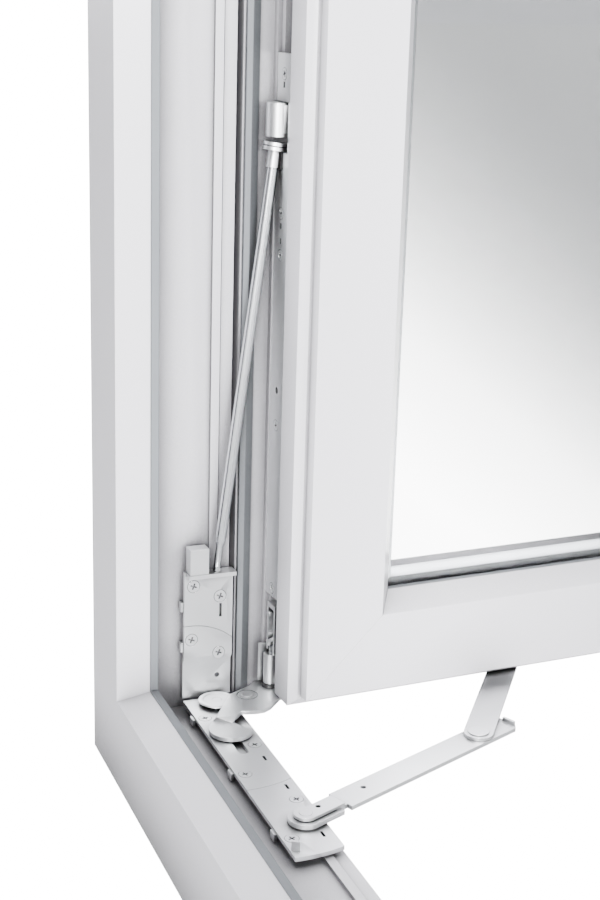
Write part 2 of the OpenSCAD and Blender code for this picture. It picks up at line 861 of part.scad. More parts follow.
module sash_gasket() {
    color(grey) on_sash() ring_of_bars(sash_w, sash_h, gap = mitre_gap)
        polygon([
            [flange_v, -flange_lap + 1], [flange_v, -flange_lap + 9.5],
            [flange_v - 2, -flange_lap + 9], [flange_v - 4, -flange_lap + 4],
            [flange_v - 2.6, -flange_lap + 1]
        ]);
}

module setting_blocks() {
    block = 80;
    v = [outer_pane_v, inner_pane_v + pane_t];
    color(dark) on_sash() {
        for (x = [pane_edge + 40, sash_w - pane_edge - 40 - block]) {
            box([x, v[0], rebate_w], [x + block, v[1], pane_edge]);
            top_side(sash_h) box([x, v[0], rebate_w], [x + block, v[1], pane_edge]);
        }
        for (z = [pane_edge + 40, sash_h - pane_edge - 40 - block]) {
            left_side() box([z, v[0], rebate_w], [z + block, v[1], pane_edge]);
            right_side(sash_w) box([z, v[0], rebate_w], [z + block, v[1], pane_edge]);
        }
    }
}

// ---- sash hardware ---------------------------------------------------------------

// Children at the screws of the hinge-side strip, drawn along the bottom side
module at_strip_screws() {
    for (z = strip_screw_z) translate([z, strip_mid, strip_face]) children();
}

module sash_strip() {
    color(metal) on_sash() left_side() difference() {
        box([strip_z[0], strip_v[0] + fit, strip_face], [strip_z[1], strip_v[1] - fit, strip_d]);
        box([upper_pocket_z[0], 34, -1], [upper_pocket_z[1], 60, 9]);
        box([sleeve_notch_z, sleeve_notch_v[0], -1], [upper_barrel_z[0], 60, 9]);
        for (z = strip_slot_z) translate([z - 1.6, strip_mid - 1.2, -1]) cube([3.2, 2.4, 6]);
        translate([strip_hole_z, strip_mid, -1]) cylinder(r = 2, h = 6);
        at_strip_screws() mirror([0, 0, 1]) sunk_hole(6, strip_head_r, strip_shank_r);
    }
}

module sash_screws() {
    color(metal) on_sash() left_side() at_strip_screws()
        mirror([0, 0, 1]) sunk_screw(strip_screw_len, strip_head_r, strip_shank_r);
}

module lower_bracket() {
    color(metal) on_sash() difference() {
        union() {
            translate([pivot_u, pivot_v, lower_barrel_z[0]])
                cylinder(r = lower_barrel_r, h = lower_barrel_z[1] - lower_barrel_z[0]);
            // Web and back plate that carry the barrel
            box([pivot_u, pivot_v - 2, lower_barrel_z[0]], [channel_d - 0.2, pivot_v + 2.6, lower_barrel_z[1]]);
            translate([0, 0, lower_barrel_z[0]]) linear_extrude(lower_barrel_z[1] - lower_barrel_z[0] + 5)
                polygon([[-4.4, 47.6], [4.5, 47.6], [4.5, 49.6], [-3.4, 49.6]]);
            // Channel with the height adjuster and the lifting hook
            difference() {
                box([strip_face, channel_v[0] + 0.2, lower_barrel_z[1] + 2],
                    [channel_d - 0.2, channel_v[1] - 0.2, channel_z[1]]);
                box([-2, channel_v[0] + 2, 0], [channel_d - 2, channel_v[1] - 2, channel_z[1] - 3]);
            }
            box([channel_d - 2, channel_v[0] + 1, lower_barrel_z[0]],
                [channel_d - 0.2, channel_v[1] - 1, channel_z[1] - 5]);
        }
        translate([pivot_u, pivot_v, -1]) cylinder(r = pivot_pin_r + 0.05, h = lower_barrel_z[1] - 1.5);
        translate([pivot_u, pivot_v - 3, lower_barrel_z[1] + 2.1]) cylinder(r = 3.6, h = 6);
    }
}

module adjusting_screw() {
    color(steel) on_sash() translate([pivot_u + 1, pivot_v - 3, lower_barrel_z[1] + 0.1]) difference() {
        union() {
            for (i = [0:5]) translate([0, 0, i]) {
                cylinder(r1 = 2.5, r2 = 3, h = 0.5);
                translate([0, 0, 0.5]) cylinder(r1 = 3, r2 = 2.5, h = 0.5);
            }
        }
        translate([0, 0, 3.5]) cylinder(r = 1.5, h = 5, $fn = 6);
    }
}

module lift_hook() {
    r = 11;
    color(metal) on_sash()
        translate([channel_d - 2.3 - r, pivot_v - 4.6, channel_z[0] + 17]) rotate([-90, 0, 0])
        linear_extrude(4) intersection() {
            difference() {
                circle(r);
                circle(r - 2.6);
            }
            translate([0, -11]) square([20, 22]);
        }
}

module upper_bracket() {
    color(metal) on_sash() difference() {
        union() {
            translate([upper_barrel_u, pivot_v, upper_barrel_z[0]])
                cylinder(r = upper_barrel_r, h = upper_barrel_z[1] - upper_barrel_z[0]);
            box([upper_barrel_u, channel_v[0] + 1.6, upper_barrel_z[0] + 2],
                [channel_d - 0.3, channel_v[1] - 0.3, upper_barrel_z[1] - 1]);
        }
        translate([upper_barrel_u, pivot_v, upper_barrel_z[0] - 1]) cylinder(r = 2.6, h = 8);
    }
}

module top_bracket() {
    color(metal) on_sash() top_side(sash_h) difference() {
        union() {
            translate([pivot_u, pivot_v, 0.6]) cylinder(r = lower_barrel_r, h = 15);
            box([pivot_u, pivot_v - 2, 0.6], [channel_d - 0.2, pivot_v + 2.6, 15]);
        }
        translate([pivot_u, pivot_v, -1]) cylinder(r = pivot_pin_r + 0.05, h = 18);
    }
}

module limiter_shoe() {
    color(dark) on_sash()
        box([limiter_shoe_u - 19, strip_v[0] + fit, 0.2], [limiter_shoe_u + 19, strip_v[1] - fit, strip_d]);
}

module lock_strip() {
    color(metal) on_sash() right_side(sash_w) difference() {
        box([70, strip_v[0] + fit, strip_face], [sash_h - 70, strip_v[1] - fit, strip_d]);
        for (z = cam_z)
            box([z - lock_travel - 5, strip_mid - 2.7, -1], [z + lock_travel + 5, strip_mid + 2.7, 9]);
    }
}

module gear_case() {
    color(steel) on_sash() right_side(sash_w) difference() {
        box([handle_z - 60, channel_v[0] + 0.2, gear_w[0] + 4.6],
            [handle_z + 60, channel_v[1] - 0.2, gear_w[1]]);
        translate([handle_z, 0, handle_u]) rotate([-90, 0, 0]) cylinder(r = 5.4, h = 100);
    }
}

module handle_rose() {
    color(pvc) on_sash() right_side(sash_w) difference() {
        translate([handle_z, handle_v, handle_u]) rotate([-90, 0, 0]) linear_extrude(9)
            offset(4) square([62, 24], center = true);
        translate([handle_z, 0, handle_u]) rotate([-90, 0, 0]) cylinder(r = 8.3, h = 200);
    }
}

// ---- handle ----------------------------------------------------------------------

module handle_lever() {
    color(pvc) on_sash() right_side(sash_w) translate([handle_z, handle_v, handle_u]) {
        rotate([-90, 0, 0]) difference() {
            cylinder(r = 8, h = 42);
            translate([0, 0, -1]) linear_extrude(36) square(7.2, center = true);
        }
        hull() {
            translate([0, 36, 0]) sphere(9, $fn = 32);
            translate([0, 44, 22]) sphere(9, $fn = 32);
        }
        hull() {
            translate([0, 44, 22]) sphere(9, $fn = 32);
            translate([0, 47, handle_len]) scale([1.25, 0.8, 1]) sphere(9, $fn = 32);
        }
    }
}

module handle_spindle() {
    color(steel) on_sash() right_side(sash_w)
        translate([handle_z, channel_v[0] - 3, handle_u]) rotate([-90, 0, 0])
        linear_extrude(handle_v + 30 - channel_v[0])
        square(7, center = true);
}

module lock_bar() {
    color(steel) on_sash() right_side(sash_w) {
        box([90, strip_mid - 5, strip_d + 0.3], [sash_h - 90, strip_mid + 5, strip_d + 3]);
        for (z = cam_z) translate([z, strip_mid, -cam_reach]) {
            cylinder(r = cam_r, h = 6.4);
            cylinder(r = 2.4, h = cam_reach + strip_d + 0.4);
        }
    }
}

// ---- load rod --------------------------------------------------------------------

module along_rod() {
    on_frame() translate(rod_foot) rotate(rod_turn) rotate([0, rod_tilt, 0]) children();
}

module load_rod() {
    color(metal) {
        along_rod() rotate_extrude()
            polygon([
                [0, -foot_pin_r + 0.2], [rod_neck_r, -foot_pin_r + 0.2], [rod_neck_r, rod_neck - 3],
                [rod_r, rod_neck + 2], [rod_r, rod_len - sleeve_len], [0, rod_len - sleeve_len]
            ]);
        // Pin across the foot, on the rod's own hinge axis
        on_frame() translate(rod_foot) rotate([0, 90, 0])
            cylinder(r = foot_pin_r, h = foot_pin_len, center = true);
    }
}

module rod_sleeve() {
    color(metal) along_rod() {
        rotate_extrude()
            polygon([
                [0, rod_len - sleeve_len + 0.01], [rod_sleeve_r, rod_len - sleeve_len + 0.01],
                [rod_sleeve_r, rod_len + 0.6], [ring_r, rod_len + 0.6], [ring_r, rod_len + 0.6 + ring_t],
                [ring_r - 1, rod_len + 0.6 + ring_t], [ring_r - 1, rod_len + ring_t + 1],
                [ring_r, rod_len + ring_t + 1], [ring_r, rod_len + 2 * ring_t + 1],
                [0, rod_len + 2 * ring_t + 1]
            ]);
    }
}

// ---- opening limiter -------------------------------------------------------------

module along_limiter() {
    on_frame() translate([post.x, post.y, 0]) rotate(limiter_angle) children();
}

module limiter_post() {
    color(metal) on_frame() translate([post.x, post.y, plate_top - plate_t]) {
        cylinder(r = post_r, h = tongue_z[1] + 0.2 - plate_top + plate_t);
    }
}

module limiter_washer() {
    color(dark) on_frame() translate([post.x, post.y, plate_top]) difference() {
        cylinder(r = 9.6, h = 0.8);
        translate([0, 0, -1]) cylinder(r = post_r + 0.02, h = 3);
    }
}

module limiter_fork() {
    color(metal) along_limiter() difference() {
        union() {
            translate([0, 0, limiter_z]) cylinder(r = 9.4, h = limiter_t);
            box([0, -9.4, limiter_z], [bar_start - 6, 4, limiter_z + limiter_t]);
            box([0, -fork_w / 2, limiter_z], [bar_start - eps, fork_w / 2, limiter_z + limiter_t]);
            // Upper tongue over the eye, joined to it at the bar
            translate([0, 0, tongue_z[0]]) cylinder(r = tongue_r, h = tongue_z[1] - tongue_z[0]);
            box([0, -tongue_r, tongue_z[0]], [tongue_end, tongue_r - 2, tongue_z[1]]);
            box([tongue_end - 6, -tongue_r, limiter_z], [tongue_end, tongue_r - 2, tongue_z[1]]);
        }
        translate([0, 0, limiter_z - 1]) cylinder(r = post_r + 0.05, h = 8);
        translate([9.6, 0.5, limiter_z - 1]) cylinder(r = 1.5, h = 8);
    }
}

module limiter_bar() {
    color(metal) along_limiter() difference() {
        union() {
            box([bar_start, -limiter_w / 2, limiter_z], [limiter_len + 14, limiter_w / 2, limiter_z + limiter_t]);
            translate([limiter_len, 0, limiter_z]) linear_extrude(limiter_t)
                polygon([[10, -limiter_w / 2], [24, -limiter_w / 2], [27, -6], [27, limiter_w / 2], [10, limiter_w / 2]]);
            // Upturned stop at the far end
            box([limiter_len + 25.2, -5.8, limiter_z], [limiter_len + 27, 2.6, limiter_z + limiter_t + 2.2]);
        }
        translate([45.4, 1.5, limiter_z - 1]) cylinder(r = 1.6, h = 6);
        translate([limiter_len, 0, limiter_z - 1]) cylinder(r = rivet_r + 0.05, h = 6);
    }
}
rivet_r = 3.2;

module limiter_arm() {
    color(metal) on_frame() translate([elbow.x, elbow.y, arm_level]) rotate(limiter_arm_angle) difference() {
        linear_extrude(limiter_arm_t) {
            circle(8.6);
            translate([0, -8.6]) square([limiter_arm_len - 14, 17.2]);
            polygon([
                [limiter_arm_len - 14.1, -8.6], [limiter_arm_len - 3, -4.6],
                [limiter_arm_len - 3, 4.6], [limiter_arm_len - 14.1, 8.6]
            ]);
            translate([limiter_arm_len - 3, 0]) circle(4.6);
        }
        translate([0, 0, -1]) cylinder(r = rivet_r + 0.05, h = 6);
    }
}

module elbow_rivet() {
    color(metal) on_frame() translate([elbow.x, elbow.y, limiter_z - 0.4]) {
        cylinder(r = rivet_r, h = limiter_t + limiter_arm_t + 0.6);
        cylinder(r = 5, h = 0.4);
        translate([0, 0, limiter_t + limiter_arm_t + 0.55]) cylinder(r = 6.2, h = elbow_head_t);
    }
}

// ---- assembly --------------------------------------------------------------------

frame_sill();
frame_head();
frame_hinge_jamb();
frame_lock_jamb();
frame_steel();
frame_gasket();
jamb_plate_upper();
jamb_plate_lower();
sill_plate();
limiter_plate();
head_plate();
plate_packers();
frame_screws();
rod_socket();
link_pins();
limiter_post();
limiter_washer();
strikers();
hinge_link();
link_disc();
top_link();
hinge_arm();
arm_rivets();
top_arm();
pivot_pins();
pivot_washer();
slot_slider();
sash_bottom_rail();
sash_top_rail();
sash_hinge_stile();
sash_lock_stile();
sash_steel();
glazing_beads();
outer_pane();
inner_pane();
pane_spacer();
glazing_gaskets();
sash_gasket();
setting_blocks();
sash_strip();
sash_screws();
lower_bracket();
adjusting_screw();
lift_hook();
upper_bracket();
top_bracket();
limiter_shoe();
lock_strip();
gear_case();
handle_rose();
load_rod();
rod_sleeve();
handle_lever();
handle_spindle();
lock_bar();
limiter_bar();
limiter_fork();
limiter_arm();
elbow_rivet();
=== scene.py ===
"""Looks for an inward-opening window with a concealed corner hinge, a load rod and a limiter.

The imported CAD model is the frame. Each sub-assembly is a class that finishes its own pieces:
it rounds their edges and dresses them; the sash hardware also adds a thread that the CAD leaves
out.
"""

from __future__ import annotations

import json
import logging
import math
from dataclasses import dataclass, field
from enum import Enum
from typing import Any, Callable

import bmesh
import bpy
from mathutils import Matrix, Vector

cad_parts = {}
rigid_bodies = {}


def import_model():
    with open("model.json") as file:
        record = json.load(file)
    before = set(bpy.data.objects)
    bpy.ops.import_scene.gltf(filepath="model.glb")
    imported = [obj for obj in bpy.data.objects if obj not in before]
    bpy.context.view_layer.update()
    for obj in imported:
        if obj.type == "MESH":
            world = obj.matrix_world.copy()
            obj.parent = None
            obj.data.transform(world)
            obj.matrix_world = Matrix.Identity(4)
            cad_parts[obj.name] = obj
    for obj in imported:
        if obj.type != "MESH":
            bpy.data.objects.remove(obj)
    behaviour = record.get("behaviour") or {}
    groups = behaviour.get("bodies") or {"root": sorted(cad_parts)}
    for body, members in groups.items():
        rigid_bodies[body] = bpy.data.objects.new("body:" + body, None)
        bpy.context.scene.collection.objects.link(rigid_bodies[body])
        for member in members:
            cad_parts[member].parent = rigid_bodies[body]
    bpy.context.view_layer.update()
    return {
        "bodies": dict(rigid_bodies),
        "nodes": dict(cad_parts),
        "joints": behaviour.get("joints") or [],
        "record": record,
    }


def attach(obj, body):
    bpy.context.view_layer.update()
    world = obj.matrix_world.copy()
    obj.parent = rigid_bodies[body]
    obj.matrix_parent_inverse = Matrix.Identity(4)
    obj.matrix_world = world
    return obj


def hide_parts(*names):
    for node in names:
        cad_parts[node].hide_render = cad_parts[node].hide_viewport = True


LOG = logging.getLogger("window")
MM = 0.001
DUSTY = 0.86
DUSTY_METAL = 0.8
# Darkening factors of the painted shade in gaps and recesses, for plastic and for metal.
PAINTED_SHADE_PLASTIC = 0.10
PAINTED_SHADE_METAL = 0.08
WELD = 1e-6


class Slot(Enum):
    """The record's material slots."""

    PROFILE = "white_profile"
    HANDLE = "white_handle"
    PACKER = "white_packer"
    GASKET = "grey_gasket"
    BLACK = "black_plastic"
    SPACER = "spacer_metal"
    GLASS = "pane_glass"
    ZINC = "zinc_steel"
    SILVER = "silver_hardware"
    ROD = "bright_rod"


# ---- shader building -------------------------------------------------------------


class Graph:
    """A small builder around a node tree."""

    def __init__(self, tree: bpy.types.NodeTree) -> None:
        """Starts from an empty tree.

        Args:
            tree: the material's or group's node tree.
        """
        self.tree = tree
        tree.nodes.clear()

    def add(self, kind: str, **values: Any) -> bpy.types.Node:
        """Adds a node and sets its properties, or its inputs where no property has that name.

        Args:
            kind: the node's type name.
            **values: property values, and input values with underscores for spaces.

        Returns:
            The new node.
        """
        node = self.tree.nodes.new(kind)
        for key, value in values.items():
            if hasattr(node, key):
                setattr(node, key, value)
            else:
                node.inputs[key.replace("_", " ")].default_value = value
        return node

    def link(self, source: bpy.types.NodeSocket, target: bpy.types.NodeSocket) -> None:
        """Links an output to an input."""
        self.tree.links.new(source, target)

    def math(self, operation: str, first: Any, second: Any = 0.0, clamp: bool = False) -> Any:
        """Adds a Math node.

        Args:
            operation: the node's operation.
            first: a socket or a number.
            second: a socket or a number.
            clamp: whether the result is held between 0 and 1.

        Returns:
            The node's output socket.
        """
        node = self.add("ShaderNodeMath", operation=operation, use_clamp=clamp)
        for socket, value in zip(node.inputs, (first, second)):
            if isinstance(value, bpy.types.NodeSocket):
                self.link(value, socket)
            else:
                socket.default_value = value
        return node.outputs[0]

    def blend(self, factor: Any, low: Any, high: Any) -> Any:
        """Adds a colour Mix node.

        Args:
            factor: a socket or a number.
            low: the colour, or a socket, where the factor is 0.
            high: the colour, or a socket, where the factor is 1.

        Returns:
            The node's colour output.
        """
        node = self.add("ShaderNodeMix", data_type="RGBA")
        sockets = (node.inputs[0], node.inputs[6], node.inputs[7])
        for socket, value in zip(sockets, (factor, low, high)):
            if isinstance(value, bpy.types.NodeSocket):
                self.link(value, socket)
            elif isinstance(value, tuple):
                socket.default_value = (*value[:3], 1.0)
            else:
                socket.default_value = value
        return node.outputs[2]

    def span(self, value: Any, low: float, high: float) -> Any:
        """Maps 0..1 onto a range.

        Args:
            value: the socket to map.
            low: the result at 0.
            high: the result at 1.

        Returns:
            The output socket.
        """
        node = self.add("ShaderNodeMapRange", clamp=True)
        self.link(value, node.inputs[0])
        node.inputs[3].default_value = low
        node.inputs[4].default_value = high
        return node.outputs[0]


def new_group(name: str, inputs: dict[str, tuple[str, Any]], outputs: dict[str, str]) -> Graph:
    """Makes a shader node group with named sockets.

    Args:
        name: the group's name.
        inputs: socket name to its type and default.
        outputs: socket name to its type.

    Returns:
        A graph whose tree holds the input and output nodes.
    """
    tree = bpy.data.node_groups.new(name, "ShaderNodeTree")
    for label, (kind, default) in inputs.items():
        socket = tree.interface.new_socket(name=label, in_out="INPUT", socket_type=kind)
        if default is not None:
            socket.default_value = default
    for label, kind in outputs.items():
        tree.interface.new_socket(name=label, in_out="OUTPUT", socket_type=kind)
    graph = Graph(tree)
    graph.add("NodeGroupInput", name="in")
    graph.add("NodeGroupOutput", name="out")
    return graph


FLOAT = "NodeSocketFloat"
VECTOR = "NodeSocketVector"


def moulded_skin_group() -> bpy.types.NodeTree:
    """The fine orange peel and slow tone changes of a moulded or extruded plastic skin."""
    graph = new_group(
        "moulded_skin",
        {"Vector": (VECTOR, None), "Grain": (FLOAT, 900.0), "Drift": (FLOAT, 6.0)},
        {"Height": FLOAT, "Tone": FLOAT},
    )
    start, end = graph.tree.nodes["in"], graph.tree.nodes["out"]
    grain = graph.add("ShaderNodeTexNoise", Detail=3.0, Roughness=0.55)
    drift = graph.add("ShaderNodeTexNoise", Detail=2.0, Roughness=0.5)
    graph.link(start.outputs["Vector"], grain.inputs["Vector"])
    graph.link(start.outputs["Vector"], drift.inputs["Vector"])
    graph.link(start.outputs["Grain"], grain.inputs["Scale"])
    graph.link(start.outputs["Drift"], drift.inputs["Scale"])
    graph.link(grain.outputs[0], end.inputs["Height"])
    graph.link(drift.outputs[0], end.inputs["Tone"])
    return graph.tree


def drawn_streaks_group() -> bpy.types.NodeTree:
    """Long fine streaks along one axis, as rolling, drawing or extrusion leaves."""
    graph = new_group(
        "drawn_streaks",
        {"Vector": (VECTOR, None), "Stretch": (VECTOR, (1.0, 1.0, 1.0)), "Density": (FLOAT, 400.0)},
        {"Streak": FLOAT},
    )
    start, end = graph.tree.nodes["in"], graph.tree.nodes["out"]
    scaled = graph.add("ShaderNodeVectorMath", operation="MULTIPLY")
    noise = graph.add("ShaderNodeTexNoise", Detail=4.0, Roughness=0.6)
    graph.link(start.outputs["Vector"], scaled.inputs[0])
    graph.link(start.outputs["Stretch"], scaled.inputs[1])
    graph.link(scaled.outputs[0], noise.inputs["Vector"])
    graph.link(start.outputs["Density"], noise.inputs["Scale"])
    graph.link(noise.outputs[0], end.inputs["Streak"])
    return graph.tree


def bright_edge_group() -> bpy.types.NodeTree:
    """A mask that is 1 along outer edges, broken up by noise, where a finish is made brighter."""
    graph = new_group(
        "bright_edge",
        {"Vector": (VECTOR, None), "Width": (FLOAT, 0.0006), "Strength": (FLOAT, 4.0)},
        {"Mask": FLOAT},
    )
    start, end = graph.tree.nodes["in"], graph.tree.nodes["out"]
    round_edge = graph.add("ShaderNodeBevel", samples=4)
    geometry = graph.add("ShaderNodeNewGeometry")
    dot = graph.add("ShaderNodeVectorMath", operation="DOT_PRODUCT")
    noise = graph.add("ShaderNodeTexNoise", Scale=260.0, Detail=2.0)
    graph.link(start.outputs["Width"], round_edge.inputs["Radius"])
    graph.link(round_edge.outputs[0], dot.inputs[0])
    graph.link(geometry.outputs["Normal"], dot.inputs[1])
    graph.link(start.outputs["Vector"], noise.inputs["Vector"])
    turned = graph.math("SUBTRACT", 1.0, dot.outputs["Value"])
    strong = graph.math("MULTIPLY", turned, start.outputs["Strength"])
    broken = graph.math("MULTIPLY", strong, graph.span(noise.outputs[0], 0.4, 1.2), clamp=True)
    graph.link(broken, end.inputs["Mask"])
    return graph.tree


def settled_dust_group() -> bpy.types.NodeTree:
    """A thin mask of dust on faces that look up, thicker in slow patches."""
    graph = new_group(
        "settled_dust",
        {"Vector": (VECTOR, None), "Amount": (FLOAT, 0.2)},
        {"Mask": FLOAT},
    )
    start, end = graph.tree.nodes["in"], graph.tree.nodes["out"]
    geometry = graph.add("ShaderNodeNewGeometry")
    split = graph.add("ShaderNodeSeparateXYZ")
    patches = graph.add("ShaderNodeTexNoise", Scale=38.0, Detail=5.0, Roughness=0.65)
    graph.link(geometry.outputs["Normal"], split.inputs[0])
    graph.link(start.outputs["Vector"], patches.inputs["Vector"])
    upward = graph.math("MULTIPLY", split.outputs["Z"], start.outputs["Amount"], clamp=True)
    broken = graph.math("MULTIPLY", upward, graph.span(patches.outputs[0], -0.4, 1.6), clamp=True)
    graph.link(broken, end.inputs["Mask"])
    return graph.tree


def painted_crevice_shade_group() -> bpy.types.NodeTree:
    """A mask of painted shade: 1 in gaps, grooves and recesses, where little light falls."""
    graph = new_group(
        "painted_crevice_shade",
        {"Vector": (VECTOR, None), "Reach": (FLOAT, 0.04), "Depth": (FLOAT, 1.0)},
        {"Mask": FLOAT},
    )
    start, end = graph.tree.nodes["in"], graph.tree.nodes["out"]
    open_share = graph.add("ShaderNodeAmbientOcclusion", samples=6)
    patches = graph.add("ShaderNodeTexNoise", Scale=22.0, Detail=3.0)
    graph.link(start.outputs["Reach"], open_share.inputs["Distance"])
    graph.link(start.outputs["Vector"], patches.inputs["Vector"])
    closed = graph.math("SUBTRACT", 1.0, open_share.outputs["AO"])
    painted_shade = graph.math("MULTIPLY", closed, start.outputs["Depth"])
    broken = graph.math("MULTIPLY", painted_shade, graph.span(patches.outputs[0], 0.85, 1.1), clamp=True)
    graph.link(broken, end.inputs["Mask"])
    return graph.tree


class Effects:
    """The shared node groups, each built once."""

    def __init__(self) -> None:
        """Builds every shared group."""
        self.skin = moulded_skin_group()
        self.streaks = drawn_streaks_group()
        self.edge = bright_edge_group()
        self.dust = settled_dust_group()
        self.shelter = painted_crevice_shade_group()

    @staticmethod
    def place(graph: Graph, tree: bpy.types.NodeTree, vector: Any, **values: Any) -> bpy.types.Node:
        """Puts a shared group into a material.

        Args:
            graph: the material's graph.
            tree: the shared group.
            vector: the coordinate socket to feed it.
            **values: values for its other inputs.

        Returns:
            The group node.
        """
        node = graph.add("ShaderNodeGroup", node_tree=tree)
        graph.link(vector, node.inputs["Vector"])
        for key, value in values.items():
            node.inputs[key].default_value = value
        return node


@dataclass(frozen=True)
class PlasticFinish:
    """A moulded or extruded plastic skin, with painted shade in its gaps and recesses."""

    name: str
    colour: tuple[float, float, float]
    shade: tuple[float, float, float]
    roughness: float
    gloss_drift: float = 0.06
    grain: float = 900.0
    depth: float = 0.00004
    dust: float = 0.12
    coat: float = 0.0
    # reach and shelter set how far and how strongly the painted shade darkens gaps and recesses.
    reach: float = 0.05
    shelter: float = 1.7

    def build(self, effects: Effects) -> bpy.types.Material:
        """Makes the material.

        Args:
            effects: the shared groups.

        Returns:
            The material.
        """
        material, graph, shader, where = start_material(self.name)
        skin = effects.place(graph, effects.skin, where, Grain=self.grain)
        dust = effects.place(graph, effects.dust, where, Amount=self.dust)
        tone = graph.blend(skin.outputs["Tone"], self.shade, self.colour)
        tint = tuple(channel * DUSTY for channel in self.shade)
        tone = graph.blend(dust.outputs["Mask"], tone, tint)
        # Painted shade: the colour darkens to a much darker tone in gaps, grooves and recesses.
        shade = effects.place(
            graph, effects.shelter, where, Reach=self.reach, Depth=self.shelter
        )
        painted_shade = tuple(channel * PAINTED_SHADE_PLASTIC for channel in self.shade)
        graph.link(graph.blend(shade.outputs["Mask"], tone, painted_shade), shader.inputs["Base Color"])
        low, high = self.roughness - self.gloss_drift, self.roughness + self.gloss_drift
        rough = graph.span(skin.outputs["Tone"], low, high)
        graph.link(graph.math("ADD", rough, dust.outputs["Mask"]), shader.inputs["Roughness"])
        add_bump(graph, shader, skin.outputs["Height"], self.depth)
        shader.inputs["Coat Weight"].default_value = self.coat
        shader.inputs["Coat Roughness"].default_value = 0.12
        return material


@dataclass(frozen=True)
class MetalFinish:
    """A plated or drawn metal with streaks along one axis, brighter edges, and painted shade in its
    gaps and recesses.
    """

    name: str
    colour: tuple[float, float, float]
    shade: tuple[float, float, float]
    roughness: float
    streak: tuple[float, float, float] = (1.0, 0.06, 1.0)
    density: float = 700.0
    streak_drift: float = 0.10
    depth: float = 0.00002
    edge_width: float = 0.0005
    edge_tone: tuple[float, float, float] = (0.95, 0.96, 0.97)
    dust: float = 0.08
    metallic: float = 1.0
    # reach and shelter set how far and how strongly the painted shade darkens gaps and recesses.
    reach: float = 0.006
    shelter: float = 1.3

    def build(self, effects: Effects) -> bpy.types.Material:
        """Makes the material.

        Args:
            effects: the shared groups.

        Returns:
            The material.
        """
        material, graph, shader, where = start_material(self.name)
        shader.inputs["Metallic"].default_value = self.metallic
        streaks = effects.place(
            graph, effects.streaks, where, Stretch=self.streak, Density=self.density
        )
        skin = effects.place(graph, effects.skin, where, Grain=1400.0, Drift=30.0)
        edge = effects.place(graph, effects.edge, where, Width=self.edge_width)
        dust = effects.place(graph, effects.dust, where, Amount=self.dust)
        tone = graph.blend(skin.outputs["Tone"], self.shade, self.colour)
        # The colour is made brighter along outer edges.
        tone = graph.blend(edge.outputs["Mask"], tone, self.edge_tone)
        tone = graph.blend(dust.outputs["Mask"], tone, tuple(c * DUSTY_METAL for c in self.shade))
        # Painted shade: the colour darkens to a much darker tone in gaps, grooves and recesses.
        shade = effects.place(
            graph, effects.shelter, where, Reach=self.reach, Depth=self.shelter
        )
        painted_shade = tuple(channel * PAINTED_SHADE_METAL for channel in self.shade)
        graph.link(graph.blend(shade.outputs["Mask"], tone, painted_shade), shader.inputs["Base Color"])
        low, high = self.roughness - self.streak_drift, self.roughness + self.streak_drift
        rough = graph.span(streaks.outputs["Streak"], low, high)
        rough = graph.math("SUBTRACT", rough, graph.math("MULTIPLY", edge.outputs["Mask"], 0.1))
        graph.link(graph.math("ADD", rough, dust.outputs["Mask"]), shader.inputs["Roughness"])
        add_bump(graph, shader, streaks.outputs["Streak"], self.depth)
        return material


@dataclass(frozen=True)
class GlassFinish:
    """Clear float glass with a painted reflection: its upper part is painted greyer than its lower
    part.
    """

    name: str
    clear: tuple[float, float, float]
    reflection_grey: tuple[float, float, float]
    reflection_low: float
    reflection_high: float
    slant: float = 0.8

    def build(self, effects: Effects) -> bpy.types.Material:
        """Makes the material.

        Args:
            effects: the shared groups.

        Returns:
            The material.
        """
        material, graph, shader, where = start_material(self.name)
        shader.inputs["Transmission Weight"].default_value = 1.0
        shader.inputs["IOR"].default_value = 1.1
        # Painted reflection: the base colour turns greyer up the pane, most at its top.
        split = graph.add("ShaderNodeSeparateXYZ")
        graph.link(where, split.inputs[0])
        slant = graph.math("MULTIPLY", split.outputs["Y"], self.slant)
        climb = graph.math("ADD", split.outputs["Z"], slant)
        reach = graph.math("SUBTRACT", self.reflection_high, climb)
        left = graph.math("DIVIDE", reach, self.reflection_high - self.reflection_low, clamp=True)
        share = graph.math("SUBTRACT", 1.0, graph.math("MULTIPLY", left, left))
        smudge = effects.place(graph, effects.skin, where, Grain=40.0, Drift=5.0)
        graph.link(graph.blend(share, self.clear, self.reflection_grey), shader.inputs["Base Color"])
        graph.link(graph.span(smudge.outputs["Tone"], 0.0, 0.05), shader.inputs["Roughness"])
        return material


def start_material(name: str) -> tuple[bpy.types.Material, Graph, bpy.types.Node, Any]:
    """Makes a material with a Principled shader and Object coordinates.

    Args:
        name: the material's name.

    Returns:
        The material, its graph, its shader node and the coordinate socket.
    """
    material = bpy.data.materials.new(name)
    material.use_nodes = True
    graph = Graph(material.node_tree)
    shader = graph.add("ShaderNodeBsdfPrincipled")
    output = graph.add("ShaderNodeOutputMaterial")
    graph.link(shader.outputs[0], output.inputs["Surface"])
    where = graph.add("ShaderNodeTexCoord").outputs["Object"]
    return material, graph, shader, where


def add_bump(graph: Graph, shader: bpy.types.Node, height: Any, depth: float) -> None:
    """Adds a Bump node to a shader.

    Args:
        graph: the material's graph.
        shader: its Principled node.
        height: the height socket.
        depth: the bump's distance in metres.
    """
    bump = graph.add("ShaderNodeBump", Strength=1.0, Distance=depth)
    graph.link(height, bump.inputs["Height"])
    graph.link(bump.outputs[0], shader.inputs["Normal"])


